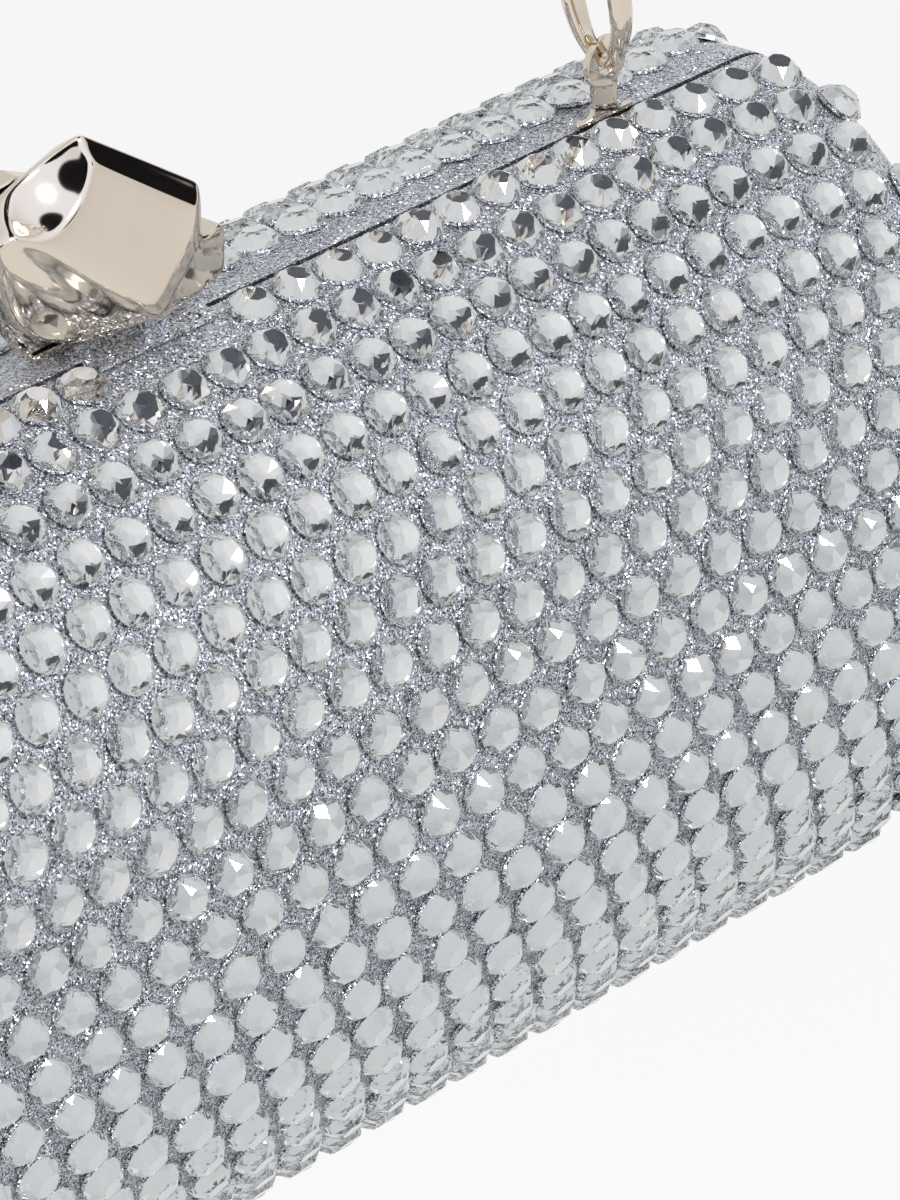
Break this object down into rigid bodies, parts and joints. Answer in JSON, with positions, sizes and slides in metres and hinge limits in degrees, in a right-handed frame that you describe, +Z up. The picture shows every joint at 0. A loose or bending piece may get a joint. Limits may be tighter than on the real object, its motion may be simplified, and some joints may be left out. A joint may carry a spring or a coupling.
{
  "type": "clutch bag",
  "caption": "Rigid evening clutch: rounded two-part shell with glitter cloth, bottom hinge, sculpted metal top clasp and oval-link chain strap.",
  "frame": {"origin": "the top of the chain strap, at the middle link, where a hand or a hook holds the bag", "axes": "+Z up, +X along the bag, -Y towards the front half, which opens"},
  "size_m": [0.179, 0.0667, 0.2919],
  "materials": {
    "glitter_fabric": "silver glitter on cloth",
    "shell_resin": "moulded",
    "lining_cloth": "satin lining",
    "steel": "plated",
    "polished_nickel": "mirror polished, warm nickel",
    "crystal": "clear cut glass over silver foil"
  },
  "bodies": {
    "back_half": {"skin_back": "glitter_fabric", "shell_back": "shell_resin", "rim_back": "steel", "lining_back": "lining_cloth", "slip_pocket": "lining_cloth", "hinge_leaf_back": "steel", "hinge_pin": "steel", "clasp_keeper": "polished_nickel", "keeper_stud": "steel", "keeper_screw_left": "steel", "keeper_screw_right": "steel", "chain_tab_left": "polished_nickel", "chain_tab_right": "polished_nickel", "tab_rivet_left": "steel", "tab_rivet_right": "steel", "chain_link_01": "polished_nickel", "chain_link_02": "polished_nickel", "chain_link_03": "polished_nickel", "chain_link_04": "polished_nickel", "chain_link_05": "polished_nickel", "chain_link_06": "polished_nickel", "chain_link_07": "polished_nickel", "chain_link_08": "polished_nickel", "chain_link_09": "polished_nickel", "chain_link_10": "polished_nickel", "chain_link_11": "polished_nickel", "chain_link_12": "polished_nickel", "chain_link_13": "polished_nickel", "chain_link_14": "polished_nickel", "chain_link_15": "polished_nickel", "chain_link_16": "polished_nickel", "chain_link_17": "polished_nickel", "chain_link_18": "polished_nickel", "chain_link_19": "polished_nickel", "chain_link_20": "polished_nickel", "chain_link_21": "polished_nickel", "chain_link_22": "polished_nickel", "chain_link_23": "polished_nickel", "chain_link_24": "polished_nickel", "chain_link_25": "polished_nickel", "chain_link_26": "polished_nickel", "chain_link_27": "polished_nickel", "chain_link_28": "polished_nickel", "chain_link_29": "polished_nickel", "chain_link_30": "polished_nickel", "chain_link_31": "polished_nickel"},
    "front_half": {"skin_front": "glitter_fabric", "shell_front": "shell_resin", "rim_front": "steel", "lining_front": "lining_cloth", "hinge_leaf_front": "steel", "clasp_bracket": "polished_nickel", "bracket_screw_left": "steel", "bracket_screw_right": "steel", "clasp_pin": "steel", "clasp_spring": "steel"},
    "clasp_front": {"clasp_lever": "polished_nickel"}
  },
  "joints": [
    {"name": "main_hinge", "type": "hinge", "parent": "back_half", "child": "front_half", "pos_m": [0, -0.00035, -0.28607], "axis": [1, 0, 0], "range_deg": [0, 70]},
    {"name": "clasp_tilt", "type": "hinge", "parent": "front_half", "child": "clasp_front", "pos_m": [0, -0.00185, -0.19827], "axis": [1, 0, 0], "range_deg": [0, 12], "stiffness_Nm_per_rad": 0.03, "springref_deg": -5.73}
  ]
}
